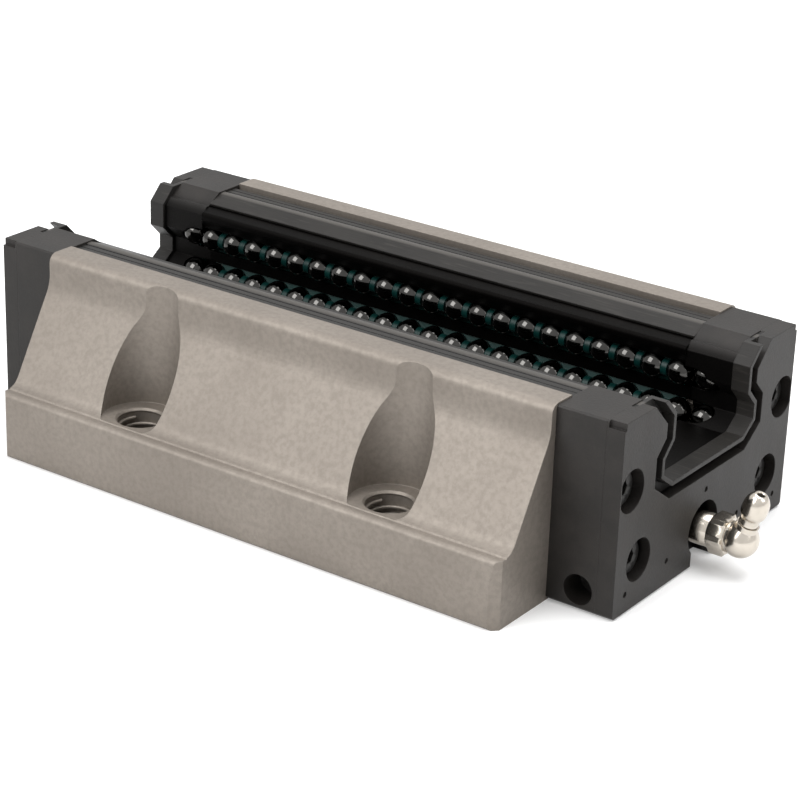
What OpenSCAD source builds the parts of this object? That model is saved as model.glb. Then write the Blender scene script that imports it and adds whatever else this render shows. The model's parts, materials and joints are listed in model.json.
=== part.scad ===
// Long flanged linear guide carriage with four caged ball circuits.
// It lies on its mounting face (z = 0) with the rail channel open upwards; X is the travel.

/* [Block] */
// Length of the steel block
block_l = 123; // [95:1:150]
// Width over the two flanges
block_w = 100; // [98:1:124]
// Height from the mounting face to the leg tips
block_h = 40; // [39.5:0.25:42]
// Height of the flange at the foot of its slope
flange_t = 14.1; // [12:0.1:15.5]
// Height of the ground datum face on the flange's side
datum_h = 9.5; // [6:0.5:11]
// Width over the two legs above the slopes
legs_w = 68.4; // [67.4:0.2:72]
// Height at which the slope becomes the upright leg
slope_top_z = 33.4; // [31:0.2:35]
// Radius along the outer top edge of each leg
leg_edge_r = 2; // [0.5:0.1:3]
// Chamfer on the flange's upright corners
corner_chamfer = 1.75; // [0.5:0.25:3]

/* [Mounting holes] */
// Distance between the mounting holes along the travel
hole_pitch_x = 62; // [50:1:74]
// Distance from the flange's side to a mounting hole
hole_edge = 9; // [8:0.5:10]
// Radius inside the thread of a mounting hole
hole_r = 4.25; // [3.3:0.05:4.5]
// Radius of the spot-faced relief above a mounting hole
relief_r = 8; // [7:0.1:8.2]
// Countersink at both mouths of a mounting hole
hole_chamfer = 0.9; // [0.3:0.1:1.2]

/* [Rail section] */
// Width of the rail's head
rail_w = 34; // [33:0.25:35]
// Height of the rail's top face in this frame
rail_top_z = 22; // [21.5:0.25:23]
// Width of the rail's neck
rail_neck_w = 27.8; // [26:0.2:28.4]
// Room between the seal lips and the rail
lip_gap = 0.12; // [0.05:0.01:0.5]

/* [Ball circuits] */
// Diameter of a ball
ball_d = 5.556; // [4.6:0.001:5.7]
// Distance from ball to ball along the cage
ball_pitch = 5.95; // [5.8:0.05:6.7]
// Ball pitches in each half turn
turn_pitches = 3; // [3:1:3]
// Room around a ball in its raceway and channels
ball_gap = 0.1; // [0.08:0.01:0.14]
// Half the width of a cage band
band_half_w = 3.2; // [3.1:0.05:3.3]
// Thickness of a cage band
band_t = 1.2; // [0.8:0.1:1.2]
// Room around a cage band in its slots
band_gap = 0.16; // [0.1:0.01:0.18]

/* [End assemblies] */
// Half the width of the end plates
plate_half_w = 32.7; // [32.3:0.1:33.4]
// Thickness of the seal plate outside the end plate
seal_plate_t = 3.8; // [2.6:0.1:5]
// Resin left outside the turns in an end plate
end_wall = 1.16; // [0.8:0.02:4]
// Thickness of the end seal's rubber
seal_t = 0.9; // [0.6:0.05:1.2]
// Width of the groove around the end seal's lip
seal_groove = 2.3; // [1.5:0.1:2.6]
// Radius of a screw recess
recess_r = 4.3; // [4:0.05:4.5]
// Radius of a plate screw's shank
screw_r = 2; // [1.5:0.1:2]
// Radius of a plate screw's head
screw_head_r = 3.6; // [3.2:0.05:3.6]

/* [Grease nipple] */
// Height of the nipple's axis above the mounting face
nipple_z = 7.3; // [6.6:0.1:8]
// Radius of the nipple's threaded shank
nipple_r = 3; // [2.5:0.1:3.2]
// Width across the flats of the nipple's hexagon
nipple_flats = 7.4; // [7:0.1:9]
// Radius of the nipple's elbow
elbow_r = 3.6; // [3.4:0.1:4.2]
// Radius of the nipple's head
head_r = 2.6; // [2.4:0.05:3.2]
// Lean of the nipple's head away from the block, in degrees
head_lean = 18; // [0:1:22]

/* [Hidden] */
$fn = 64;
fit = 0.03;
foot_chamfer = 0.3;
LEFT = -1;
RIGHT = 1;
FRONT = 1;
REAR = -1;

// Ball rows, for the right side: place, and the way each circuit leans outwards.
row_y = rail_w / 2 - 0.4;
row_mid_z = rail_top_z + 4;
row_half = 4.3;
ROWS = [[row_mid_z - row_half, -22], [row_mid_z + row_half, 9]];
LOWER = 0;
UPPER = 1;

ball_r = ball_d / 2;
race_r = ball_r + ball_gap;
pocket_r = ball_r + 0.08;
n_run = ceil(block_l / ball_pitch);
turn_x = n_run * ball_pitch / 2;
turn_r = turn_pitches * ball_pitch / PI;
turn_step = 180 / turn_pitches;
turn_ends = [-(turn_pitches - 1) / 2 * turn_step, (turn_pitches - 1) / 2 * turn_step];
band_u = 0.9;
band_r = turn_r - band_u;
band_end = 0.8;
spine_r = 1.75;
slot_half_t = band_t / 2 + band_gap;
slot_half_w = band_half_w + band_gap;
guide_r = band_r - slot_half_t;
pocket_band_r = band_r + slot_half_t;
return_u = 2 * turn_r;
return_bore_r = sqrt(pow(band_u + slot_half_t, 2) + pow(slot_half_w, 2)) + 0.45;
tube_wall_r = return_bore_r - fit;

// Steel section.
channel_z = rail_top_z - 4.6;
land_y = rail_w / 2 + 2.8;
race_foot_y = row_y + 0.6;
lip_y = row_y + 1.35;
lip_top_z = ROWS[UPPER][0] + 3.6;
seat_z = block_h - 2.8;
seat_y = [rail_w / 2 + 3.2, rail_w / 2 + 10.6];
hole_y = block_w / 2 - hole_edge;
foot_y = block_w / 2 - 2.9;

// Ends.
face_x = block_l / 2;
end_plate_t = turn_x - face_x + turn_r + race_r + end_wall;
plate_x = face_x + end_plate_t;
outer_x = plate_x + seal_plate_t;
plate_bottom = 0.4;
plate_top = block_h - 0.3;
rebate_t = 1;
opening_gap = 0.8;
retainer_gap = 0.4;
retainer_side = 0.2;
flare_h = 2.3;
SCREWS = [[24.5, 9.9], [28.7, 25.3]];
MARKS = [[0, 15.4], [-13.6, 5.4], [13.6, 5.4], [-28.6, 4.2], [28.6, 4.2]];
head_seat_x = plate_x - 0.7;
head_h = 2.6;
thread_depth = 9;
port_x = face_x + 6.8;
port_r = 3.1;

// Nipple.
hex_x = [outer_x + 2.4, outer_x + 6];
elbow_x = hex_x[1] + 2.3;
// Heights below are along the leaning head, from the middle of the elbow.
head_z = elbow_r + 1.8;
head_top_z = head_z + 5.6;
passage_r = 0.9;
check_r = 1.1;
chamber_r = 1.3;
mouth_r = 0.7;
seat_cone_h = 1;
check_z = head_top_z - 0.7 - seat_cone_h - 0.15;
spring_foot_z = elbow_r - 1.2;

SIDES = ["left", "right"];
LEVELS = ["lower", "upper"];

STEEL = [0.68, 0.64, 0.59];
BLACK = [0.16, 0.15, 0.14];
RUBBER = [0.09, 0.09, 0.09];
CAGE = [0.06, 0.25, 0.22];
CHROME = [0.86, 0.86, 0.86];
NICKEL = [0.84, 0.82, 0.78];

// The rail's right half section, from the middle of its top face over its neck to its foot.
neck_end_z = rail_top_z + 14.2;
RAIL = [[0, rail_top_z], [rail_neck_w / 2 - 0.5, rail_top_z], [rail_w / 2, rail_top_z + 2.5],
    [rail_w / 2, rail_top_z + 5.5], [rail_neck_w / 2, rail_top_z + 8.6],
    [rail_neck_w / 2, neck_end_z], [rail_neck_w / 2 + block_h + 5 - neck_end_z, block_h + 5]];

function unit(v) = v / norm(v);
function outward(a, b) = let (d = unit(b - a)) [d.y, -d.x];
// An open outline moved outwards by a distance, with mitred corners.
function grown(pts, by) = [for (i = [0:len(pts) - 1]) let (
    n0 = outward(pts[max(i - 1, 0)], pts[max(i, 1)]),
    n1 = outward(pts[min(i, len(pts) - 2)], pts[min(i + 1, len(pts) - 1)]))
    pts[i] + by * (n0 + n1) / (1 + n0 * n1)];
function flip(pts) = [for (i = [len(pts) - 1:-1:0]) [-pts[i].x, pts[i].y]];
// The same outline on both sides of the middle, as one closed ring.
function both(half) = concat(flip(half), half);
function bend(a, b, c, n = 6) = [for (i = [0:n]) let (t = i / n)
    (1 - t) * (1 - t) * a + 2 * t * (1 - t) * b + t * t * c];
function round_corner(c, r, a0, a1, n = 8) = [for (i = [0:n])
    let (a = a0 + (a1 - a0) * i / n) c + r * [cos(a), sin(a)]];

// A section in (Y, Z) drawn along X.
module along(l) {
    rotate([90, 0, 90]) linear_extrude(l, center = true) children();
}

// The same, from one X to a higher one.
module between(x0, x1) {
    translate([x0, 0, 0]) rotate([90, 0, 90]) linear_extrude(x1 - x0) children();
}

// A round bar along X.
module bar(r, x0, x1, y = 0, z = 0) {
    translate([x0, y, z]) rotate([0, 90, 0]) cylinder(r = r, h = x1 - x0);
}

// The plane of one ball circuit: X along the travel, Y from the load run to the return run.
module circuit(side, row) {
    tilt = ROWS[row][1];
    translate([0, side * row_y, ROWS[row][0]]) rotate([side > 0 ? tilt : 180 - tilt, 0, 0]) children();
}

// The place of a circuit's turn, with X pointing out of the block.
module turn(end) {
    translate([end * turn_x, turn_r, 0]) rotate([0, 0, end > 0 ? 0 : 180]) children();
}

module on_side(side) {
    rotate([0, 0, side > 0 ? 0 : 180]) children();
}

module on_end(end) {
    rotate([0, 0, end > 0 ? 0 : 180]) children();
}

// ---- Steel block

module block_half_outline() {
    polygon(concat([[0, 0], [block_w / 2 - 0.7, 0], [block_w / 2, 0.7], [block_w / 2, datum_h]],
        [[block_w / 2 - 0.5, flange_t - 1.1]],
        round_corner([block_w / 2 - 1.6, flange_t - 1.1], 1.1, 0, 90, 5),
        [[foot_y + 0.25, flange_t], [foot_y, flange_t - 0.3], [foot_y - 0.3, flange_t + 0.1]],
        bend([foot_y - 0.6, flange_t + 0.2], [foot_y - 1.9, flange_t + 0.5],
            [foot_y - 2.8, flange_t + 2]),
        bend([legs_w / 2 + 1.6, slope_top_z - 2.4], [legs_w / 2, slope_top_z],
            [legs_w / 2, slope_top_z + 2.4]),
        round_corner([legs_w / 2 - leg_edge_r, block_h - leg_edge_r], leg_edge_r, 0, 90),
        [[0, block_h]]));
}

// Everything that the channel takes out of the steel section, but for the raceways.
function channel_half() = [[0, channel_z], [race_foot_y, channel_z],
    [race_foot_y, ROWS[LOWER][0]], [land_y - 0.6, ROWS[LOWER][0] + 1.2], [land_y, ROWS[LOWER][0] + 1.8],
    [land_y, ROWS[UPPER][0] - 1.8], [land_y - 0.6, ROWS[UPPER][0] - 1.2],
    [race_foot_y, ROWS[UPPER][0]], [lip_y, ROWS[UPPER][0]], [lip_y, lip_top_z],
    [seat_y[0], lip_top_z], [seat_y[0], seat_z], [seat_y[1], seat_z], [seat_y[1], block_h + 1]];

module plan_outline() {
    c = corner_chamfer;
    a = face_x;
    b = block_w / 2;
    polygon([[a - c, -b], [a, -b + c], [a, b - c], [a - c, b], [c - a, b], [-a, b - c], [-a, c - b],
        [c - a, -b]]);
}

module mounting_hole() {
    translate([0, 0, -1]) cylinder(r = hole_r, h = block_h);
    translate([0, 0, -0.01]) cylinder(r1 = hole_r + foot_chamfer, r2 = hole_r, h = foot_chamfer);
    translate([0, 0, flange_t - hole_chamfer]) {
        cylinder(r1 = hole_r, r2 = hole_r + hole_chamfer, h = hole_chamfer);
    }
    translate([0, 0, flange_t - 0.01]) cylinder(r = relief_r, h = block_h);
}

module block_body() color(STEEL) difference() {
    intersection() {
        union() {
            along(block_l) block_half_outline();
            mirror([0, 1, 0]) along(block_l) block_half_outline();
        }
        translate([0, 0, -1]) linear_extrude(block_h + 2) plan_outline();
    }
    along(block_l + 2) polygon(both(channel_half()));
    for (side = [LEFT, RIGHT], row = [LOWER, UPPER]) circuit(side, row) {
        bar(race_r, -face_x - 1, face_x + 1);
        bar(return_bore_r, -face_x - 1, face_x + 1, return_u);
    }
    for (x = [-1, 1], y = [-1, 1]) {
        translate([x * hole_pitch_x / 2, y * hole_y, 0]) mounting_hole();
    }
    for (x = [-1, 1], y = [-1, 1], s = SCREWS) {
        bar(screw_r + fit, x > 0 ? face_x - thread_depth - 1 : -face_x - 1,
            x > 0 ? face_x + 1 : -face_x + thread_depth + 1, y * s.x, s.y);
    }
}

// ---- Resin strips along the channel

// Room that a row of balls and its cage take out of the strips beside them.
module row_room(side, row, l) {
    circuit(side, row) {
        bar(race_r, -l / 2, l / 2);
        translate([-l / 2, band_u - band_t / 2 - retainer_side, -band_half_w - retainer_side]) {
            cube([l, band_t + 2 * retainer_side, 2 * (band_half_w + retainer_side)]);
        }
    }
}

module floor_retainer() color(BLACK) difference() {
    half_w = row_y - 0.7;
    along(block_l) polygon(both([[0, rail_top_z - 0.7], [half_w - 3, rail_top_z - 0.7],
        [half_w, rail_top_z - 2.2], [half_w, channel_z], [0, channel_z]]));
    for (side = [LEFT, RIGHT]) row_room(side, LOWER, block_l + 2);
}

module mid_retainer(side) color(BLACK) difference() {
    in_y = rail_w / 2 + retainer_gap;
    on_side(side) along(block_l) {
        polygon([[in_y, row_mid_z - 1.4], [in_y + 0.5, row_mid_z - 1.7], [land_y, row_mid_z - 1.7],
            [land_y, row_mid_z + 1.6], [in_y + 0.5, row_mid_z + 1.6], [in_y, row_mid_z + 1.1]]);
    }
    for (row = [LOWER, UPPER]) row_room(side, row, block_l + 2);
}

module tip_retainer(side) color(BLACK) difference() {
    in_y = rail_neck_w / 2 + retainer_gap;
    on_side(side) along(block_l) {
        polygon(concat([[in_y + 1, ROWS[UPPER][0]], [lip_y, ROWS[UPPER][0]],
            [lip_y, lip_top_z], [seat_y[0], lip_top_z], [seat_y[0], seat_z],
            [in_y + 2.6, seat_z]], bend([in_y + 0.6, seat_z - 0.6], [in_y, seat_z - 0.9],
            [in_y, seat_z - 1.6]), [[in_y, seat_z - 2.3], [in_y + 1, seat_z - 4]]));
    }
    row_room(side, UPPER, block_l + 2);
    // Below the ball's upper side the strip would only be a loose sliver.
    on_side(side) translate([-block_l, 0, 0]) cube([2 * block_l, 30, ROWS[UPPER][0] + 1.6]);
}

module side_seal(side) color(RUBBER) on_side(side) along(block_l) {
    top = block_h - 0.8;
    out_y = seat_y[1] - 0.1;
    root_y = rail_w / 2 + 3.6;
    tip_y = rail_w / 2 + 0.3;
    polygon(concat([[tip_y + 1.7, seat_z], [out_y, seat_z], [out_y, top - 0.8],
        [out_y - 1, top - 0.8], [out_y - 1.2, top], [out_y - 2.6, top], [out_y - 2.75, top - 0.3],
        [out_y - 2.9, top], [root_y + 2.7, top], [root_y + 2.5, top - 0.25]],
        bend([root_y + 2.4, top], [root_y + 1.2, top + 0.5], [root_y, top - 0.1]),
        [[tip_y, top - 1.3], [tip_y + 0.15, top - 1.8]]));
}

// ---- Ball circuits

module run_spheres(r, u) {
    for (i = [0:n_run - 1]) translate([(i - (n_run - 1) / 2) * ball_pitch, u, 0]) sphere(r = r);
}

module turn_spheres(r) {
    for (k = [0:turn_pitches - 1]) {
        rotate([0, 0, turn_ends[0] + k * turn_step]) translate([turn_r, 0, 0]) sphere(r = r);
    }
}

// The hollow-ended spacer between two neighbouring balls.
module spacer() {
    rotate([0, 90, 0]) rotate_extrude() difference() {
        translate([0, -ball_pitch / 2]) square([spine_r, ball_pitch]);
        for (y = [-1, 1]) translate([0, y * ball_pitch / 2]) circle(r = pocket_r);
    }
}

module run_cage(u, inner) {
    l = (n_run - 1) * ball_pitch;
    translate([0, u + inner * band_u + band_t / 2, 0]) rotate([90, 0, 0]) linear_extrude(band_t) {
        difference() {
            translate([-l / 2 - band_end, -band_half_w]) square([l + 2 * band_end, 2 * band_half_w]);
            for (i = [0:n_run - 1]) translate([i * ball_pitch - l / 2, 0]) circle(r = pocket_r);
        }
    }
    for (i = [1:n_run - 1]) translate([(i - 0.5) * ball_pitch - l / 2, u, 0]) spacer();
}

// A ring sector about the turn's axis.
module sector(a0, a1) {
    rotate([0, 0, a0]) rotate_extrude(angle = a1 - a0) children();
}

module turn_cage() {
    reach = band_end / band_r * 180 / PI;
    difference() {
        union() {
            sector(turn_ends[0] - reach, turn_ends[1] + reach) {
                translate([band_r - band_t / 2, -band_half_w]) square([band_t, 2 * band_half_w]);
            }
            sector(turn_ends[0], turn_ends[1]) translate([turn_r, 0]) circle(r = spine_r);
        }
        turn_spheres(pocket_r);
    }
}

module load_balls(side, row) color(CHROME) circuit(side, row) run_spheres(ball_r, 0);
module load_cage(side, row) color(CAGE) circuit(side, row) run_cage(0, 1);
module return_balls(side, row) color(CHROME) circuit(side, row) run_spheres(ball_r, return_u);
module return_cage(side, row) color(CAGE) circuit(side, row) run_cage(return_u, -1);
module turning_balls(side, row, end) color(CHROME) circuit(side, row) turn(end) turn_spheres(ball_r);
module turning_cage(side, row, end) color(CAGE) circuit(side, row) turn(end) turn_cage();

module return_tubes(side) color(BLACK) for (row = [LOWER, UPPER]) circuit(side, row) {
    difference() {
        bar(tube_wall_r, -face_x, face_x, return_u);
        bar(race_r, -face_x - 1, face_x + 1, return_u);
        translate([-face_x - 1, return_u - band_u - slot_half_t, -slot_half_w]) {
            cube([block_l + 2, 2 * slot_half_t, 2 * slot_half_w]);
        }
    }
}

// Straight and turned ball channel of one end, in the circuit's plane.
module ball_channel(end) {
    turn(end) {
        sector(-90, 90) translate([turn_r, 0]) circle(r = race_r);
        for (y = [-turn_r, turn_r]) bar(race_r, face_x - turn_x - 0.5, 0, y);
    }
}

// A half disc with its straight side on the block's face.
module saddle(r, half_w, end, sink = 0) {
    turn(end) {
        translate([0, 0, -half_w]) {
            intersection() {
                cylinder(r = r, h = 2 * half_w);
                translate([0, -r, 0]) cube([r, 2 * r, 2 * half_w]);
            }
            translate([face_x - turn_x - sink, -r, 0]) {
                cube([turn_x - face_x + sink + 0.01, 2 * r, 2 * half_w]);
            }
        }
    }
}

module turn_guides(end, side) color(BLACK) for (row = [LOWER, UPPER]) circuit(side, row) {
    difference() {
        saddle(guide_r, slot_half_w - 0.02, end);
        ball_channel(end);
    }
}

// ---- End plates, seals and screws

module plate_outline(inset = 0) {
    w = plate_half_w - inset;
    t = plate_top - inset;
    b = plate_bottom + inset;
    polygon(both([[0, b], [w - 0.5, b], [w, b + 0.5], [w, t - 0.35], [w - 0.35, t], [0, t]]));
}

// The rail's room with a given gap, open at the leg tips.
module rail_room(gap) {
    polygon(both(concat(grown(RAIL, gap), [[0, block_h + 5]])));
}

module screw_holes(r, x0, x1) {
    for (y = [-1, 1], s = SCREWS) bar(r, x0, x1, y * s.x, s.y);
}

// Recesses of the screws: a thin wall stays between the upper ones and the plate's sides.
module recesses(x0, x1) {
    intersection() {
        screw_holes(recess_r, x0, x1);
        between(x0, x1) plate_outline(0.35);
    }
}

module nipple_recess(x0, x1) {
    r = nipple_flats / 2 + 1.9;
    bar(r, x0, x1, 0, nipple_z);
    translate([x0, -r * 0.7, -1]) cube([x1 - x0, r * 1.4, nipple_z + 1]);
}

module side_port(side) {
    translate([port_x, side * plate_half_w, port_r + 1.3]) rotate([side * -90, 0, 0]) {
        translate([0, 0, -6]) cylinder(r = port_r, h = 7);
        translate([0, 0, -8]) cylinder(r = port_r * 0.45, h = 5);
    }
}

module end_plate(end) color(BLACK) difference() {
    on_end(end) difference() {
        between(face_x, plate_x) plate_outline();
        between(face_x - 1, plate_x + 1) {
            rail_room(opening_gap);
            // The opening flares towards the plate's top.
            polygon(both([[0, plate_top - flare_h], [rail_w / 2, plate_top - flare_h],
                [rail_w / 2 + 1.6 * flare_h, plate_top + 0.1], [0, plate_top + 0.1]]));
        }
        screw_holes(screw_r + 0.15, face_x - 1, plate_x + 1);
        recesses(head_seat_x, plate_x + 1);
        // Only the front hole runs through; the rear one is left as a shallow pilot.
        bar(nipple_r + fit, end == FRONT ? face_x - 1 : plate_x - 2.5, plate_x + 1, 0, nipple_z);
        for (side = [LEFT, RIGHT]) side_port(side);
        // Grease grooves from the nipple's hole to the two lower turns.
        groove_y = row_y + turn_r * cos(ROWS[LOWER][1]) - 1.2;
        translate([face_x - 1, -groove_y, nipple_z - 0.8]) cube([2, 2 * groove_y, 1.6]);
        for (y = [-1, 1]) translate([face_x - 1, y * groove_y - 0.8, nipple_z - 0.8]) cube([2, 1.6, 10]);
    }
    for (side = [LEFT, RIGHT], row = [LOWER, UPPER]) circuit(side, row) {
        saddle(pocket_band_r, slot_half_w, end, 0.5);
        ball_channel(end);
    }
}

module seal_plate(end) color(BLACK) on_end(end) difference() {
    between(plate_x, outer_x) plate_outline();
    between(plate_x - 1, outer_x + 1) rail_room(lip_gap + seal_t + seal_groove);
    between(plate_x - 1, plate_x + rebate_t) rail_room(lip_gap + seal_t + seal_groove + 1.7);
    recesses(plate_x - 1, outer_x + 1);
    nipple_recess(plate_x - 1, outer_x + 1);
    // Stepped top corners.
    for (y = [-1, 1]) translate([plate_x + 0.4, y > 0 ? plate_half_w - 0.6 : -plate_half_w - 1,
        plate_top - 1.4]) cube([seal_plate_t, 1.6, 2]);
    // Moulding marks.
    for (m = MARKS) bar(0.6, outer_x - 0.4, outer_x + 1, m.x, m.y);
}

module end_seal(end) color(RUBBER) on_end(end) intersection() {
    difference() {
        union() {
            between(plate_x, plate_x + rebate_t - fit) rail_room(lip_gap + seal_t + seal_groove + 1.6);
            between(plate_x, outer_x) rail_room(lip_gap + seal_t);
        }
        between(plate_x - 1, outer_x + 1) rail_room(lip_gap);
    }
    between(plate_x - 1, outer_x + 1) plate_outline(0.2);
}

module plate_screw() {
    bar(screw_r, face_x - thread_depth, head_seat_x + 0.5);
    difference() {
        bar(screw_head_r, head_seat_x, head_seat_x + head_h);
        translate([head_seat_x + head_h - 1.5, 0, 0]) rotate([0, 90, 0]) cylinder(r = 1.45, h = 2, $fn = 6);
    }
}

module plate_screws(end) color(BLACK) on_end(end) {
    for (y = [-1, 1], s = SCREWS) translate([0, y * s.x, s.y]) plate_screw();
}

// ---- Grease nipple

// The leaning axis of the nipple's head, from the middle of the elbow.
module head_axis() {
    translate([elbow_x, 0, nipple_z]) rotate([0, head_lean, 0]) children();
}

module nipple_body() color(NICKEL) difference() {
    union() {
        bar(nipple_r, face_x + 3.5, plate_x + 0.5, 0, nipple_z);
        bar(nipple_r + 0.35, plate_x, hex_x[0] + 0.1, 0, nipple_z);
        translate([hex_x[0], 0, nipple_z]) rotate([0, 90, 0]) rotate([0, 0, 30]) {
            cylinder(r = nipple_flats / sqrt(3), h = hex_x[1] - hex_x[0], $fn = 6);
        }
        bar(nipple_r + 0.2, hex_x[1] - 0.1, elbow_x, 0, nipple_z);
        head_axis() {
            sphere(r = elbow_r);
            cylinder(r = 2.3, h = elbow_r + 0.4);
        }
    }
    bar(passage_r, face_x, elbow_x + 0.4, 0, nipple_z);
    head_axis() {
        translate([0, 0, -0.4]) cylinder(r = passage_r - 0.1, h = elbow_r + 2);
        translate([0, 0, spring_foot_z - 0.8]) cylinder(r = 1.75, h = elbow_r + 2);
    }
}

module nipple_head() color(NICKEL) head_axis() difference() {
    union() {
        translate([0, 0, spring_foot_z - 0.8]) cylinder(r = 1.75 - fit, h = head_z - spring_foot_z + 1);
        translate([0, 0, head_z - 1.3]) cylinder(r = 2, h = 1.6);
        translate([0, 0, head_z]) rotate_extrude() polygon(concat([[0, 0], [2, 0]],
            bend([head_r - 0.1, 1], [head_r, 1.6], [head_r, 2.4], 3),
            bend([head_r - 0.1, 3.9], [head_r - 0.35, 5.2], [mouth_r + 0.5, head_top_z - head_z], 5),
            [[0, head_top_z - head_z]]));
    }
    translate([0, 0, spring_foot_z]) cylinder(r = chamber_r, h = head_top_z - 0.7 - seat_cone_h - spring_foot_z);
    translate([0, 0, head_top_z - 0.7 - seat_cone_h - 0.001]) {
        cylinder(r1 = chamber_r, r2 = mouth_r, h = seat_cone_h + 0.001);
    }
    translate([0, 0, head_top_z - 1]) cylinder(r = mouth_r, h = 2);
    translate([0, 0, spring_foot_z - 2]) cylinder(r = passage_r - 0.1, h = 3);
}

module nipple_check_ball() color(CHROME) head_axis() translate([0, 0, check_z]) sphere(r = check_r);

// One closed coil of wire swept up from the chamber's foot to the check ball.
module nipple_spring() color(CHROME) head_axis() {
    wire_r = 0.16;
    coil_r = 0.78;
    turns = 5;
    steps = 14;
    sides = 6;
    z0 = spring_foot_z + wire_r + 0.02;
    z1 = check_z - sqrt(check_r * check_r - coil_r * coil_r) - wire_r - 0.1;
    n = turns * steps;
    pts = [for (i = [0:n]) let (a = i * 360 / steps, z = z0 + (z1 - z0) * i / n)
        for (k = [0:sides - 1]) let (b = k * 360 / sides, r = coil_r + wire_r * cos(b))
            [r * cos(a), r * sin(a), z + wire_r * sin(b)]];
    faces = concat([[for (k = [0:sides - 1]) k]],
        [for (i = [0:n - 1], k = [0:sides - 1]) let (a = i * sides, k2 = (k + 1) % sides)
            [a + k, a + sides + k, a + sides + k2, a + k2]],
        [[for (k = [sides - 1:-1:0]) n * sides + k]]);
    polyhedron(pts, faces);
}

block_body();
end_plate(FRONT);  // end_plate_front
end_plate(REAR);  // end_plate_rear
seal_plate(FRONT);  // seal_plate_front
seal_plate(REAR);  // seal_plate_rear
end_seal(FRONT);  // end_seal_front
end_seal(REAR);  // end_seal_rear
plate_screws(FRONT);  // plate_screws_front
plate_screws(REAR);  // plate_screws_rear
side_seal(LEFT);  // side_seal_left
side_seal(RIGHT);  // side_seal_right
tip_retainer(LEFT);  // tip_retainer_left
tip_retainer(RIGHT);  // tip_retainer_right
mid_retainer(LEFT);  // mid_retainer_left
mid_retainer(RIGHT);  // mid_retainer_right
floor_retainer();
return_tubes(LEFT);  // return_tubes_left
return_tubes(RIGHT);  // return_tubes_right
turn_guides(FRONT, LEFT);  // turn_guides_front_left
turn_guides(FRONT, RIGHT);  // turn_guides_front_right
turn_guides(REAR, LEFT);  // turn_guides_rear_left
turn_guides(REAR, RIGHT);  // turn_guides_rear_right
nipple_body();
nipple_head();
nipple_check_ball();
nipple_spring();
for (s = [0, 1], r = [LOWER, UPPER]) {
    side = [LEFT, RIGHT][s];
    tail = str("_", SIDES[s], "_", LEVELS[r]);
    load_balls(side, r);
    load_cage(side, r);
    return_balls(side, r);
    return_cage(side, r);
    turning_balls(side, r, FRONT);
    turning_cage(side, r, FRONT);
    turning_balls(side, r, REAR);
    turning_cage(side, r, REAR);
}
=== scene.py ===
"""Finishes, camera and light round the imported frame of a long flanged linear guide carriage."""
import json
import math

import bmesh
import bpy
from mathutils import Matrix, Vector


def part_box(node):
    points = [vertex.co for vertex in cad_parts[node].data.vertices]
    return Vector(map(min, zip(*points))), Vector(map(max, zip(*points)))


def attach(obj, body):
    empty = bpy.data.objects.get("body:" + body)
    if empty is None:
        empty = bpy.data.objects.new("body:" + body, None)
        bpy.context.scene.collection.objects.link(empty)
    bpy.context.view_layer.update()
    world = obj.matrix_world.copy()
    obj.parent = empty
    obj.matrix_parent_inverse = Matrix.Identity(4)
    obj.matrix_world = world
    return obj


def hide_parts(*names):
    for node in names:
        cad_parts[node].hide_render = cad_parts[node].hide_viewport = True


MM = 0.001
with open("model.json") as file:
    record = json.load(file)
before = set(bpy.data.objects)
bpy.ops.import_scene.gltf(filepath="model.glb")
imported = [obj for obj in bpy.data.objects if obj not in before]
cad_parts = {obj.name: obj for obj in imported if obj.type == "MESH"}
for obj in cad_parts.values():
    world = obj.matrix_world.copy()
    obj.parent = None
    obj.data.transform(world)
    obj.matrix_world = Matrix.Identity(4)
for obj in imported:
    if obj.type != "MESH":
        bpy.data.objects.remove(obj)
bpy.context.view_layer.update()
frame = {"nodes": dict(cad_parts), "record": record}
NODES = frame["nodes"]


# ---- Shader maths ----------------------------------------------------------------------------

class Value:
    """One socket of a finish, which can be used in sums."""

    def __init__(self, finish, socket):
        self.finish, self.socket = finish, socket

    def _math(self, operation, a, b):
        return self.finish.node("ShaderNodeMath", {"operation": operation}, {0: a, 1: b})

    def __add__(self, other):
        return self._math("ADD", self, other)

    def __sub__(self, other):
        return self._math("SUBTRACT", self, other)

    def __rsub__(self, other):
        return self._math("SUBTRACT", other, self)

    def __mul__(self, other):
        return self._math("MULTIPLY", self, other)

    __radd__ = __add__
    __rmul__ = __mul__

    def over(self, low, high):
        """0 below low, 1 above high, smooth between."""
        return self.finish.node("ShaderNodeMapRange", {"interpolation_type": "SMOOTHSTEP"},
                                {"Value": self, "From Min": low, "From Max": high})

    def size(self):
        return self._math("ABSOLUTE", self, 0.0)


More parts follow.
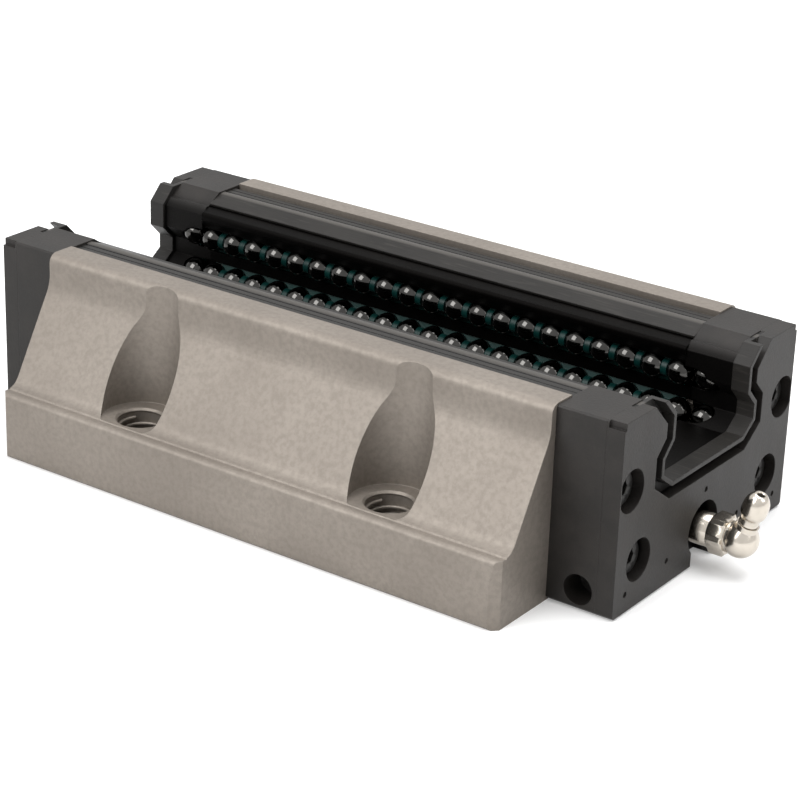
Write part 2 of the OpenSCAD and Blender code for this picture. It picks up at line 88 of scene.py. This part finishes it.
class Finish:
    """One node material, with its patterns on Object coordinates."""

    def __init__(self, name):
        self.mat = bpy.data.materials.new(name)
        self.mat.use_nodes = True
        self.tree = self.mat.node_tree
        self.tree.nodes.clear()
        self.out = self.tree.nodes.new("ShaderNodeOutputMaterial")
        self.shader = self.tree.nodes.new("ShaderNodeBsdfPrincipled")
        self.tree.links.new(self.shader.outputs[0], self.out.inputs[0])
        self.place = self.node("ShaderNodeTexCoord", {}, {}, "Object")
        apart = self.node("ShaderNodeSeparateXYZ", {}, {0: self.place})
        self.x, self.y, self.z = (Value(self, apart.socket.node.outputs[i]) for i in range(3))

    def node(self, kind, settings, inputs, output=0):
        made = self.tree.nodes.new(kind)
        for key, setting in settings.items():
            setattr(made, key, setting)
        for key, value in inputs.items():
            if isinstance(value, Value):
                self.tree.links.new(value.socket, made.inputs[key])
            else:
                made.inputs[key].default_value = value
        return Value(self, made.outputs[output])

    def stretched(self, along):
        """Object coordinates drawn out along an axis by dividing by these factors."""
        return self.node("ShaderNodeMapping", {}, {"Vector": self.place, "Scale": tuple(along)})

    def noise(self, scale, detail=3.0, rough=0.5, along=(1, 1, 1)):
        return self.node("ShaderNodeTexNoise", {}, {
            "Vector": self.stretched(along), "Scale": scale, "Detail": detail, "Roughness": rough})

    def blend(self, mask, a, b):
        """Colour a where the mask is 0, and b where it is 1."""
        ends = [c if isinstance(c, Value) else (*c, 1.0) for c in (a, b)]
        return self.node("ShaderNodeMix", {"data_type": "RGBA"},
                         {0: mask, 6: ends[0], 7: ends[1]}, 2)

    def dents(self, height, depth, edge=0.00025):
        """Bump from a 0..1 height whose full depth is in metres, over softly broken edges."""
        soft = self.node("ShaderNodeBevel", {"samples": 4}, {"Radius": edge})
        return self.node("ShaderNodeBump", {}, {"Height": height, "Distance": depth,
                                                "Strength": 1.0, "Normal": soft})

    def edges(self, radius):
        """1 on the outer and inner edges within this many metres, 0 on open faces."""
        soft = self.node("ShaderNodeBevel", {"samples": 4}, {"Radius": radius})
        flat = self.node("ShaderNodeNewGeometry", {}, {}, "Normal")
        same = self.node("ShaderNodeVectorMath", {"operation": "DOT_PRODUCT"}, {0: soft, 1: flat},
                         "Value")
        return (1 - same).over(0.02, 0.25)

    def paint(self, **sockets):
        """Puts each value on the shader's socket of that name."""
        for name, value in sockets.items():
            socket = self.shader.inputs[name.replace("_", " ")]
            if isinstance(value, Value):
                self.tree.links.new(value.socket, socket)
            else:
                socket.default_value = (*value, 1.0) if isinstance(value, tuple) else value
        return self.mat


# ---- Finishes --------------------------------------------------------------------------------

def ground_steel():
    f = Finish("ground_steel")
    clouds = f.noise(38, 4, 0.6)
    specks = f.noise(900, 3, 0.6)
    lines = f.noise(700, 2, 0.5, along=(0.03, 1, 1))
    rub = f.edges(0.0004) * clouds.over(0.3, 0.6)
    base = f.blend(clouds.over(0.3, 0.7), (0.205, 0.180, 0.155), (0.245, 0.217, 0.188))
    base = f.blend(specks.over(0.35, 0.7) * 0.35, base, (0.150, 0.130, 0.111))
    base = f.blend(rub * 0.4, base, (0.36, 0.33, 0.295))
    f.paint(Base_Color=base, Roughness=specks * 0.16 + clouds * 0.10 + 0.42, Metallic=0.6,
            Normal=f.dents(lines * 0.5 + specks * 0.5, 0.00003))
    return f.mat


# box of the painted shade inside the rail opening of the end pieces
SHADED_MOUTH_Y = (20.0 * MM, 21.5 * MM)
SHADED_MOUTH_Z = (36.0 * MM, 38.5 * MM)
SHADED_MOUTH_X = (73.5 * MM, 74.5 * MM)
# positions across the side seals: a painted highlight along the crown, painted shade at the root,
# the score line and the groove
SEAL_CROWN_Y = 21.9 * MM
SEAL_ROOT_Y = 23.15 * MM
SEAL_LINE_Y = 24.75 * MM
SEAL_GROOVE_Y = 26.95 * MM


def black_resin(name="black_resin", gloss=0.29, tone_and_shade=0.85):
    """Moulded black resin, with painted shade inside the opening that the rail runs through, where
    it is duller and darker.
    """
    f = Finish(name)
    clouds = f.noise(120, 4, 0.6)
    grain = f.noise(2400, 2, 0.5)
    flow = f.noise(60, 3, 0.6, along=(1, 1, 0.25))
    # the tones are scaled down; for the strips inside the channel this darkening is painted shade
    tones = [tuple(tone_and_shade * c for c in tone) for tone in (
        (0.0125, 0.0108, 0.0095), (0.021, 0.0180, 0.0160), (0.060, 0.054, 0.049))]
    base = f.blend(clouds.over(0.35, 0.7), tones[0], tones[1])
    base = f.blend(f.edges(0.0003) * flow.over(0.35, 0.65) * 0.35, base, tones[2])
    # painted shade: inside the rail opening the resin is made near black and partly metallic, which
    # takes away its diffuse light, because that opening lies in shade
    painted_mouth_shade = 1 - f.y.size().over(*SHADED_MOUTH_Y)
    painted_mouth_shade = painted_mouth_shade * (1 - f.z.over(*SHADED_MOUTH_Z)) * (1 - f.x.size().over(*SHADED_MOUTH_X))
    base = f.blend(painted_mouth_shade * 0.85, base, (0.0015, 0.0013, 0.0012))
    f.paint(Base_Color=base, Roughness=flow * 0.14 + clouds * 0.14 + grain * 0.12 + 0.30,
            Metallic=painted_mouth_shade * 0.8, Normal=f.dents(grain * 0.7 + clouds * 0.3, 0.00004),
            Specular_IOR_Level=gloss)
    return f.mat


def shaded_strip_resin():
    """The smoother black of the strips inside the channel, a shaded copy of the black resin whose
    deeper black is painted shade.
    """
    return black_resin("shaded_strip_resin", 0.06, 0.35)


def black_rubber():
    """Rubber of the seals, with painted shade in the grooves and a painted highlight as the rounded
    stripe of the side seals.
    """
    f = Finish("black_rubber")
    clouds = f.noise(90, 3, 0.5)
    grain = f.noise(1800, 2, 0.5, along=(0.1, 1, 1))
    base = f.blend(clouds, (0.010, 0.0095, 0.009), (0.024, 0.022, 0.020))
    base = f.blend(grain.over(0.55, 0.75) * 0.4, base, (0.045, 0.041, 0.037))
    out = f.y.size()
    channel = 1 - (out - SEAL_GROOVE_Y).size().over(0.45 * MM, 0.75 * MM)
    score = 1 - (out - SEAL_LINE_Y).size().over(0.10 * MM, 0.28 * MM)
    root = 1 - (out - SEAL_ROOT_Y).size().over(0.10 * MM, 0.35 * MM)
    # painted highlight: a lighter stripe along the rounded crown of the side seal lip, where light
    # catches it
    crown = 1 - (out - SEAL_CROWN_Y).size().over(0.5 * MM, 1.3 * MM)
    base = f.blend(crown * 0.6, base, (0.095, 0.088, 0.080))
    # painted shade: near black down the groove, the score line and the root of the lip, where shade
    # falls
    base = f.blend((channel + score + root).over(0.1, 0.9) * 0.9, base, (0.002, 0.002, 0.002))
    f.paint(Base_Color=base, Roughness=clouds * 0.2 + 0.34, Normal=f.dents(grain, 0.00003),
            Specular_IOR_Level=0.2)
    return f.mat


def green_resin():
    f = Finish("green_resin")
    clouds = f.noise(300, 3, 0.5)
    # the dark teal of the cages, darkened further as painted shade of the channel they sit in
    base = f.blend(clouds, (0.0012, 0.016, 0.0145), (0.003, 0.034, 0.030))
    f.paint(Base_Color=base, Roughness=clouds * 0.2 + 0.28, Normal=f.dents(clouds, 0.00002),
            Specular_IOR_Level=0.2)
    return f.mat


def ball_steel():
    f = Finish("ball_steel")
    haze = f.noise(600, 3, 0.5)
    scuffs = f.noise(2600, 2, 0.5, along=(0.3, 1, 1))
    # painted shade: the balls' base colour is near black, so they show only dim reflections, as in
    # the dark channel; real bearing balls are bright chrome
    base = f.blend(haze, (0.042, 0.041, 0.039), (0.075, 0.073, 0.070))
    f.paint(Base_Color=base, Roughness=haze * 0.06 + scuffs * 0.04 + 0.05, Metallic=1.0)
    return f.mat


def black_screws():
    f = Finish("black_screws")
    clouds = f.noise(500, 3, 0.6)
    base = f.blend(clouds, (0.012, 0.012, 0.012), (0.035, 0.033, 0.031))
    base = f.blend(f.edges(0.0002) * 0.5, base, (0.11, 0.10, 0.09))
    f.paint(Base_Color=base, Roughness=clouds * 0.2 + 0.28, Metallic=0.6,
            Normal=f.dents(clouds, 0.00002, edge=0.00012))
    return f.mat


def nickel():
    f = Finish("nickel")
    haze = f.noise(420, 4, 0.6)
    lines = f.noise(900, 2, 0.5, along=(1, 0.05, 0.05))
    base = f.blend(haze, (0.46, 0.42, 0.365), (0.66, 0.61, 0.54))
    base = f.blend(haze.over(0.55, 0.7) * lines * 0.5, base, (0.36, 0.31, 0.25))
    f.paint(Base_Color=base, Roughness=haze * 0.12 + lines * 0.06 + 0.13, Metallic=1.0,
            Normal=f.dents(lines, 0.00001, edge=0.00015))
    return f.mat


def spring_wire():
    f = Finish("spring_wire")
    haze = f.noise(900, 2, 0.5)
    base = f.blend(haze, (0.50, 0.49, 0.47), (0.62, 0.61, 0.59))
    f.paint(Base_Color=base, Roughness=haze * 0.1 + 0.25, Metallic=1.0)
    return f.mat


FINISHES = {made.__name__: made() for made in (
    ground_steel, black_resin, shaded_strip_resin, black_rubber, green_resin, ball_steel, black_screws,
    nickel, spring_wire)}

for part in frame["record"]["subparts"]:
    cad = NODES[part["node"]]
    cad.data.materials.clear()
    # the strips inside the channel take the shaded copy of the black resin, as painted shade
    inner = "retainer" in part["node"] or "guide" in part["node"]
    cad.data.materials.append(FINISHES["shaded_strip_resin" if inner else part["material_slot"]])


# ---- Geometry node trees ---------------------------------------------------------------------

class Tree:
    """A geometry node tree with named inputs, which ends in plain faces of one finish."""

    def __init__(self, name, **inputs):
        self.group = bpy.data.node_groups.new(name, "GeometryNodeTree")
        face = self.group.interface
        face.new_socket("Geometry", in_out="INPUT", socket_type="NodeSocketGeometry")
        face.new_socket("Geometry", in_out="OUTPUT", socket_type="NodeSocketGeometry")
        for label, kind in inputs.items():
            face.new_socket(label, in_out="INPUT", socket_type="NodeSocket" + kind)
        self.start = self.group.nodes.new("NodeGroupInput")
        self.end = self.group.nodes.new("NodeGroupOutput")

    def given(self, label):
        return self.start.outputs[label]

    def add(self, kind, settings=None, inputs=None, output=0):
        shader = kind.startswith("Shader")
        node = self.group.nodes.new(kind if shader else "GeometryNode" + kind)
        for key, setting in (settings or {}).items():
            setattr(node, key, setting)
        for key, value in (inputs or {}).items():
            for link in value if isinstance(value, list) else [value]:
                if isinstance(link, bpy.types.NodeSocket):
                    self.group.links.new(link, node.inputs[key])
                else:
                    node.inputs[key].default_value = link
        return node.outputs[output]

    def sum(self, operation, a, b):
        return self.add("ShaderNodeMath", {"operation": operation}, {0: a, 1: b})

    def vector(self, x=0.0, y=0.0, z=0.0):
        return self.add("ShaderNodeCombineXYZ", None, {0: x, 1: y, 2: z})

    def close(self, geometry, finish, smooth=True):
        real = self.add("RealizeInstances", None, {0: geometry})
        soft = self.add("SetShadeSmooth", None, {0: real, "Shade Smooth": smooth})
        done = self.add("SetMaterial", None, {0: soft, "Material": FINISHES[finish]})
        self.group.links.new(done, self.end.inputs[0])
        return self

    def make(self, name, base=None, **values):
        """The plain mesh object that this tree makes with these inputs."""
        holder = bpy.data.objects.new(name + "_maker", base or bpy.data.meshes.new(name))
        bpy.context.scene.collection.objects.link(holder)
        modifier = holder.modifiers.new("tree", "NODES")
        modifier.node_group = self.group
        for item in self.group.interface.items_tree:
            if item.in_out == "INPUT" and item.name in values:
                modifier[item.identifier] = values[item.name]
        bpy.context.view_layer.update()
        graph = bpy.context.evaluated_depsgraph_get()
        mesh = bpy.data.meshes.new_from_object(holder.evaluated_get(graph), depsgraph=graph)
        mesh.name = name
        bpy.data.objects.remove(holder)
        made = bpy.data.objects.new(name, mesh)
        bpy.context.scene.collection.objects.link(made)
        return made


def ball_tree():
    """Balls on a line, which is then wound round an axis by the same angle from ball to ball."""
    tree = Tree("ball_row", Balls="Int", First="Vector", Step="Vector", Radius="Float",
                Centre="Vector", Axis="Vector", Start="Float", Turn="Float", Rings="Int")
    given = tree.given
    line = tree.add("MeshLine", None, {"Count": given("Balls"), "Start Location": given("First"),
                                       "Offset": given("Step")})
    place = tree.add("InputPosition")
    number = tree.add("InputIndex")
    angle = tree.sum("ADD", given("Start"), tree.sum("MULTIPLY", number, given("Turn")))
    wound = tree.add("ShaderNodeVectorRotate", {"rotation_type": "AXIS_ANGLE"}, {
        "Vector": place, "Center": given("Centre"), "Axis": given("Axis"), "Angle": angle})
    points = tree.add("SetPosition", None, {0: line, "Position": wound})
    ball = tree.add("MeshUVSphere", None, {
        "Segments": tree.sum("MULTIPLY", given("Rings"), 2.0), "Rings": given("Rings"),
        "Radius": given("Radius")})
    balls = tree.add("InstanceOnPoints", None, {"Points": points, "Instance": ball})
    return tree.close(balls, "ball_steel")


def thread_tree():
    """A helical thread in each of four holes at the corners of a rectangle."""
    tree = Tree("hole_threads", Pitch="Float", Turns="Float", Crest="Float", Root="Float",
                Across="Float", Along="Float", Bottom="Float")
    given = tree.given
    middle = tree.sum("MULTIPLY", tree.sum("ADD", given("Crest"), given("Root")), 0.5)
    helix = tree.add("CurveSpiral", None, {
        "Resolution": 48, "Rotations": given("Turns"), "Start Radius": middle,
        "End Radius": middle, "Height": tree.sum("MULTIPLY", given("Pitch"), given("Turns"))})
    depth = tree.sum("SUBTRACT", given("Root"), given("Crest"))
    ridge = tree.add("CurvePrimitiveCircle", {"mode": "RADIUS"}, {
        "Resolution": 4, "Radius": tree.sum("MULTIPLY", depth, 0.62)})
    coil = tree.add("CurveToMesh", None, {0: helix, 1: ridge, "Fill Caps": True})
    rows = []
    for side in (-0.5, 0.5):
        rows.append(tree.add("MeshLine", None, {
            "Count": 2,
            "Start Location": tree.vector(tree.sum("MULTIPLY", given("Along"), -0.5),
                                          tree.sum("MULTIPLY", given("Across"), side),
                                          given("Bottom")),
            "Offset": tree.vector(given("Along"))}))
    holes = tree.add("JoinGeometry", None, {0: rows})
    coils = tree.add("InstanceOnPoints", None, {"Points": holes, "Instance": coil})
    return tree.close(coils, "ground_steel")


def screw_tree():
    """The screw it is given, at the four corners of one end."""
    tree = Tree("end_screws", LowerAcross="Float", LowerHeight="Float", UpperAcross="Float",
                UpperHeight="Float")
    given = tree.given
    rows = []
    for level in ("Lower", "Upper"):
        across = given(level + "Across")
        rows.append(tree.add("MeshLine", None, {
            "Count": 2, "Start Location": tree.vector(0.0, tree.sum("MULTIPLY", across, -1.0),
                                                      given(level + "Height")),
            "Offset": tree.vector(0.0, tree.sum("MULTIPLY", across, 2.0))}))
    corners = tree.add("JoinGeometry", None, {0: rows})
    screws = tree.add("InstanceOnPoints", None, {"Points": corners, "Instance": given("Geometry")})
    return tree.close(screws, "black_screws", False)


# ---- Mesh helpers ----------------------------------------------------------------------------

def linked(name, made):
    """A bmesh as an object of the scene."""
    mesh = bpy.data.meshes.new(name)
    made.to_mesh(mesh)
    made.free()
    thing = bpy.data.objects.new(name, mesh)
    bpy.context.scene.collection.objects.link(thing)
    return thing


def lathe(rings, sides=48, frame_at=None):
    """Closed surface through rings of (height, radius) or (height, across flats, 6) about Z."""
    made = bmesh.new()
    loops = []
    for ring in rings:
        height, radius = ring[0], ring[1]
        loop = []
        for i in range(sides):
            angle = 2 * math.pi * i / sides
            reach = radius
            if len(ring) == 3:
                part = (angle + math.pi / 6) % (math.pi / 3) - math.pi / 6
                reach = radius / 2 / math.cos(part)
            loop.append(made.verts.new((reach * math.cos(angle), reach * math.sin(angle), height)))
        loops.append(loop)
    for low, high in zip(loops, loops[1:]):
        for i in range(sides):
            j = (i + 1) % sides
            made.faces.new((low[i], low[j], high[j], high[i]))
    made.faces.new(list(reversed(loops[0])))
    made.faces.new(loops[-1])
    if frame_at is not None:
        bmesh.ops.transform(made, matrix=frame_at, verts=made.verts)
    bmesh.ops.recalc_face_normals(made, faces=made.faces)
    return made


def smooth_by_angle(thing, degrees=30):
    """Smooth faces with sharp edges where they meet at more than the angle."""
    made = bmesh.new()
    made.from_mesh(thing.data)
    for face in made.faces:
        face.smooth = True
    for edge in made.edges:
        edge.smooth = edge.is_manifold and edge.calc_face_angle(0.0) < math.radians(degrees)
    made.to_mesh(thing.data)
    made.free()


def stand_in(thing, body, finish, *nodes):
    """The piece takes the place of CAD nodes, moves with their body and has their finish."""
    if not thing.data.materials:
        thing.data.materials.append(FINISHES[finish])
    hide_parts(*nodes)
    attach(thing, body)


# ---- Balls -----------------------------------------------------------------------------------

BALL_R = 2.778 * MM
PITCH = 5.95 * MM
ROW_Y = 16.6 * MM
ROW_Z = {"lower": 21.7 * MM, "upper": 30.3 * MM}
TILT = {"lower": -22.0, "upper": 9.0}
TURN_R = 3 * PITCH / math.pi
RUN_BALLS = 21
TURN_BALLS = 3


def rows_of_balls():
    tree = ball_tree()
    for side, sign in (("left", -1), ("right", 1)):
        for level in ("lower", "upper"):
            lean = math.radians(TILT[level])
            load = Vector((0, sign * ROW_Y, ROW_Z[level]))
            out = Vector((0, sign * math.cos(lean), math.sin(lean)))
            tail = "_" + side + "_" + level
            first = -(RUN_BALLS - 1) / 2 * PITCH
            for run, at, rings in (("load", load, 20), ("return", load + out * 2 * TURN_R, 10)):
                row = tree.make(run + "_row" + tail, Balls=RUN_BALLS,
                                First=at + Vector((first, 0, 0)), Step=Vector((PITCH, 0, 0)),
                                Radius=BALL_R, Centre=at, Axis=Vector((1, 0, 0)), Start=0.0,
                                Turn=0.0, Rings=rings)
                stand_in(row, run + "_run" + tail, "ball_steel", run + "_balls" + tail)
            centre = load + out * TURN_R
            axis = Vector((1, 0, 0)).cross(out)
            for end, way in (("front", 1), ("rear", -1)):
                middle = centre + Vector((way * RUN_BALLS * PITCH / 2, 0, 0))
                arm = middle + Vector((way * TURN_R, 0, 0))
                row = tree.make(end + "_turn_row" + tail, Balls=TURN_BALLS, First=arm,
                                Step=Vector((0, 0, 0)), Radius=BALL_R, Centre=middle, Axis=axis,
                                Start=-math.pi / TURN_BALLS, Turn=math.pi / TURN_BALLS, Rings=14)
                stand_in(row, end + "_turn" + tail, "ball_steel", end + "_turn_balls" + tail)


# ---- Threads and screws ----------------------------------------------------------------------

HOLE_X = 31.0 * MM
HOLE_Y = 41.0 * MM
HOLE_R = 4.25 * MM
THREAD_R = 4.95 * MM
HOLE_PITCH = 1.5 * MM
LOWER_SCREW = (24.5 * MM, 9.9 * MM)
UPPER_SCREW = (28.7 * MM, 25.3 * MM)


def threaded_block():
    """The steel block with its hole walls moved out to the thread's root, and the threads."""
    made = bmesh.new()
    made.from_mesh(NODES["block_body"].data)
    bmesh.ops.remove_doubles(made, verts=made.verts, dist=0.002 * MM)
    for vert in made.verts:
        across = Vector((abs(vert.co.x) - HOLE_X, abs(vert.co.y) - HOLE_Y))
        if abs(across.length - HOLE_R) < 0.06 * MM and vert.co.z < 14 * MM:
            grown = across * (THREAD_R / across.length)
            vert.co.x = math.copysign(HOLE_X + grown.x, vert.co.x)
            vert.co.y = math.copysign(HOLE_Y + grown.y, vert.co.y)
    block = linked("steel_block", made)
    smooth_by_angle(block, 22)
    stand_in(block, "carriage", "ground_steel", "block_body")
    coils = thread_tree().make("hole_threads", Pitch=HOLE_PITCH, Turns=7.6, Crest=HOLE_R,
                               Root=THREAD_R, Across=2 * HOLE_Y, Along=2 * HOLE_X,
                               Bottom=0.9 * MM)
    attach(coils, "carriage")


def plate_screws():
    """Socket-headed screws of both end assemblies."""
    tree = screw_tree()
    low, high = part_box("plate_screws_front")
    tip, crown = low.x, high.x
    seat = crown - 2.6 * MM
    neck = 2.0 * MM
    head = 3.6 * MM
    socket = 2.9 * MM
    for end, way in (("front", 1), ("rear", -1)):
        turned = Matrix(((0, 0, way), (0, way, 0), (1, 0, 0))).to_4x4()
        rings = [(tip, neck * 0.6), (tip + 0.5 * MM, neck), (seat, neck), (seat, head - 0.15 * MM),
                 (seat + 0.15 * MM, head), (crown - 0.35 * MM, head), (crown, head - 0.35 * MM),
                 (crown, 1.75 * MM), (crown - 0.15 * MM, socket, 6),
                 (crown - 1.5 * MM, socket, 6), (crown - 1.75 * MM, 1.0 * MM)]
        one = linked("one_screw", lathe(rings, 48, turned))
        screws = tree.make("plate_screws_" + end + "_detailed", one.data,
                           LowerAcross=LOWER_SCREW[0], LowerHeight=LOWER_SCREW[1],
                           UpperAcross=UPPER_SCREW[0], UpperHeight=UPPER_SCREW[1])
        bpy.data.objects.remove(one)
        smooth_by_angle(screws, 35)
        stand_in(screws, "carriage", "black_screws", "plate_screws_" + end)


# ---- Grease nipple ---------------------------------------------------------------------------

NIPPLE_Z = 7.3 * MM
ELBOW = Vector((84.3 * MM, 0, NIPPLE_Z))
LEAN = math.radians(18)
BEND = Matrix.Translation(ELBOW) @ Matrix.Rotation(LEAN, 4, "Y")
ELBOW_R = 3.6 * MM
HEXAGON = (78.4 * MM, 82.0 * MM)
FLATS = 7.4 * MM
CHAMFER = 0.35 * MM
THREAD = (65.0 * MM, 71.4 * MM)
THREAD_PITCH = 0.5 * MM
THREAD_ROOT_R = 2.72 * MM
THREAD_CREST_R = 3.0 * MM
PLATE_X = 72.2 * MM
SHANK_R = 3.35 * MM
NECK_R = 3.2 * MM


def arc(centre, radius, start, stop, steps):
    """Ring heights and radii on part of a circle, by angle from the axis."""
    found = []
    for i in range(steps + 1):
        angle = math.radians(start + (stop - start) * i / steps)
        found.append((centre - radius * math.cos(angle), radius * math.sin(angle)))
    return found


def together(first, second):
    """Two bmeshes as one."""
    mesh = bpy.data.meshes.new("half")
    whole = bmesh.new()
    for part in (first, second):
        part.to_mesh(mesh)
        part.free()
        whole.from_mesh(mesh)
    bpy.data.meshes.remove(mesh)
    return whole


def nipple_body():
    """Shank, chamfered hexagon and round elbow of the nipple, with the thread below."""
    lie = Matrix.Translation((0, 0, NIPPLE_Z)) @ Matrix.Rotation(math.radians(90), 4, "Y")
    tip, thread_end = THREAD
    low, high = HEXAGON
    rings = [(tip, 2.2 * MM), (tip + 0.6 * MM, 2.75 * MM)]
    at = tip + 1.2 * MM
    while at < thread_end:
        rings += [(at, THREAD_ROOT_R), (at + THREAD_PITCH / 2, THREAD_CREST_R)]
        at += THREAD_PITCH
    rings += [(PLATE_X, 2.75 * MM), (PLATE_X, 3.25 * MM), (PLATE_X + 0.2 * MM, SHANK_R),
              (low - 0.2 * MM, SHANK_R), (low, NECK_R), (low, 3.55 * MM),
              (low + CHAMFER, FLATS, 6), (high - CHAMFER, FLATS, 6), (high, 3.55 * MM),
              (high, NECK_R), (high + 0.4 * MM, NECK_R), (ELBOW.x, NECK_R)]
    shank = lathe(rings, 96, lie)
    rings = [(-ELBOW_R, 0.02 * MM)] + arc(0, ELBOW_R, 6, 128, 24)
    rings += [(2.85 * MM, 2.3 * MM), (4.0 * MM, 2.3 * MM), (4.0 * MM, 1.8 * MM)]
    elbow = lathe(rings, 96, BEND)
    thing = linked("nipple_elbow", together(shank, elbow))
    smooth_by_angle(thing, 38)
    stand_in(thing, "carriage", "nickel", "nipple_body")


def nipple_head():
    """The nipple's turned head with its ball seat, leaning with the elbow."""
    foot, top = 5.4 * MM, 11.0 * MM
    stem = 1.7 * MM
    chamber = 1.28 * MM
    rings = [(1.7 * MM, 1.0 * MM), (1.7 * MM, stem), (4.1 * MM, stem), (4.1 * MM, 2.0 * MM),
             (foot - 0.2 * MM, 1.95 * MM), (foot, 2.0 * MM), (foot + 0.5 * MM, 2.2 * MM),
             (foot + 1.0 * MM, 2.48 * MM), (foot + 1.4 * MM, 2.58 * MM),
             (foot + 1.9 * MM, 2.6 * MM), (foot + 2.4 * MM, 2.6 * MM), (foot + 3.2 * MM, 2.55 * MM),
             (foot + 4.0 * MM, 2.38 * MM), (foot + 4.7 * MM, 2.05 * MM),
             (foot + 5.2 * MM, 1.68 * MM), (foot + 5.5 * MM, 1.38 * MM), (top, 1.15 * MM),
             (top, 0.85 * MM), (top - 0.15 * MM, 0.72 * MM), (top - 0.7 * MM, 0.70 * MM),
             (top - 1.7 * MM, chamber), (2.45 * MM, chamber), (2.4 * MM, 0.4 * MM)]
    thing = linked("nipple_crown", lathe(rings, 64, BEND))
    smooth_by_angle(thing, 32)
    stand_in(thing, "carriage", "nickel", "nipple_head")


rows_of_balls()
threaded_block()
plate_screws()
nipple_body()
nipple_head()


# ---- Floor, light and camera -----------------------------------------------------------------

def floor():
    mesh = bpy.data.meshes.new("floor")
    reach = 3.0
    mesh.from_pydata([(-reach, -reach, 0), (reach, -reach, 0), (reach, reach, 0),
                      (-reach, reach, 0)], [], [(0, 1, 2, 3)])
    thing = bpy.data.objects.new("floor", mesh)
    bpy.context.scene.collection.objects.link(thing)
    f = Finish("floor_paper")
    fibre = f.noise(6, 3, 0.5)
    f.paint(Base_Color=f.blend(fibre, (0.80, 0.80, 0.80), (0.84, 0.84, 0.84)), Roughness=0.9)
    path = f.tree.nodes.new("ShaderNodeLightPath")
    seen = Value(f, path.outputs["Is Camera Ray"]) + Value(f, path.outputs["Is Glossy Ray"])
    seen = seen + Value(f, path.outputs["Is Transmission Ray"])
    glow = f.node("ShaderNodeEmission", {}, {"Color": (1, 1, 1, 1), "Strength": seen * 0.22})
    both = f.node("ShaderNodeAddShader", {}, {0: Value(f, f.shader.outputs[0]), 1: glow})
    f.tree.links.new(both.socket, f.out.inputs[0])
    mesh.materials.append(f.mat)


def softbox(name, at, aim, size, watts, colour=(1, 1, 1)):
    lamp = bpy.data.lights.new(name, "AREA")
    lamp.shape = "RECTANGLE"
    lamp.size, lamp.size_y = size
    lamp.energy = watts
    lamp.color = colour
    thing = bpy.data.objects.new(name, lamp)
    thing.location = at
    thing.rotation_euler = (Vector(aim) - Vector(at)).to_track_quat("-Z", "Y").to_euler()
    bpy.context.scene.collection.objects.link(thing)


def daylight():
    world = bpy.data.worlds.new("studio")
    bpy.context.scene.world = world
    world.use_nodes = True
    tree = world.node_tree
    tree.nodes.clear()
    out = tree.nodes.new("ShaderNodeOutputWorld")
    fill = tree.nodes.new("ShaderNodeBackground")
    fill.inputs["Color"].default_value = (1, 1, 1, 1)
    fill.inputs["Strength"].default_value = 0.34
    white = tree.nodes.new("ShaderNodeBackground")
    white.inputs["Color"].default_value = (1, 1, 1, 1)
    white.inputs["Strength"].default_value = 1.0
    path = tree.nodes.new("ShaderNodeLightPath")
    mix = tree.nodes.new("ShaderNodeMixShader")
    seen = path.outputs["Is Camera Ray"]
    for ray in ("Is Glossy Ray", "Is Transmission Ray"):
        either = tree.nodes.new("ShaderNodeMath")
        either.operation = "MAXIMUM"
        tree.links.new(seen, either.inputs[0])
        tree.links.new(path.outputs[ray], either.inputs[1])
        seen = either.outputs[0]
    tree.links.new(seen, mix.inputs[0])
    tree.links.new(fill.outputs[0], mix.inputs[1])
    tree.links.new(white.outputs[0], mix.inputs[2])
    tree.links.new(mix.outputs[0], out.inputs[0])


def camera():
    azimuth, elevation, roll = (math.radians(a) for a in (35.04, 22.98, 1.974))
    away = 0.5318
    aim = Vector((0.0, 0.005514, 0.011320))
    back = Vector((math.sin(azimuth) * math.cos(elevation),
                   -math.cos(azimuth) * math.cos(elevation), math.sin(elevation)))
    right = (-back).cross(Vector((0, 0, 1))).normalized()
    up = right.cross(-back)
    across = right * math.cos(roll) + up * math.sin(roll)
    upward = up * math.cos(roll) - right * math.sin(roll)
    lens = bpy.data.cameras.new("camera")
    lens.sensor_width = 36.0
    lens.lens = 114.39
    lens.clip_start = 0.01
    thing = bpy.data.objects.new("camera", lens)
    thing.matrix_world = Matrix.Translation(aim + back * away) @ Matrix(
        (across, upward, back)).transposed().to_4x4()
    bpy.context.scene.collection.objects.link(thing)
    bpy.context.scene.camera = thing


floor()
daylight()
softbox("key", (-0.40, -0.98, 1.02), (0, 0, 0), (0.9, 0.9), 17)
softbox("end_light", (1.1, 0.1, 0.8), (0, 0, 0), (0.7, 0.7), 4.5)
softbox("top_light", (0.1, 0.3, 1.3), (0, 0, 0), (1.0, 1.0), 17)
camera()

view = bpy.context.scene.view_settings
view.view_transform = "Standard"
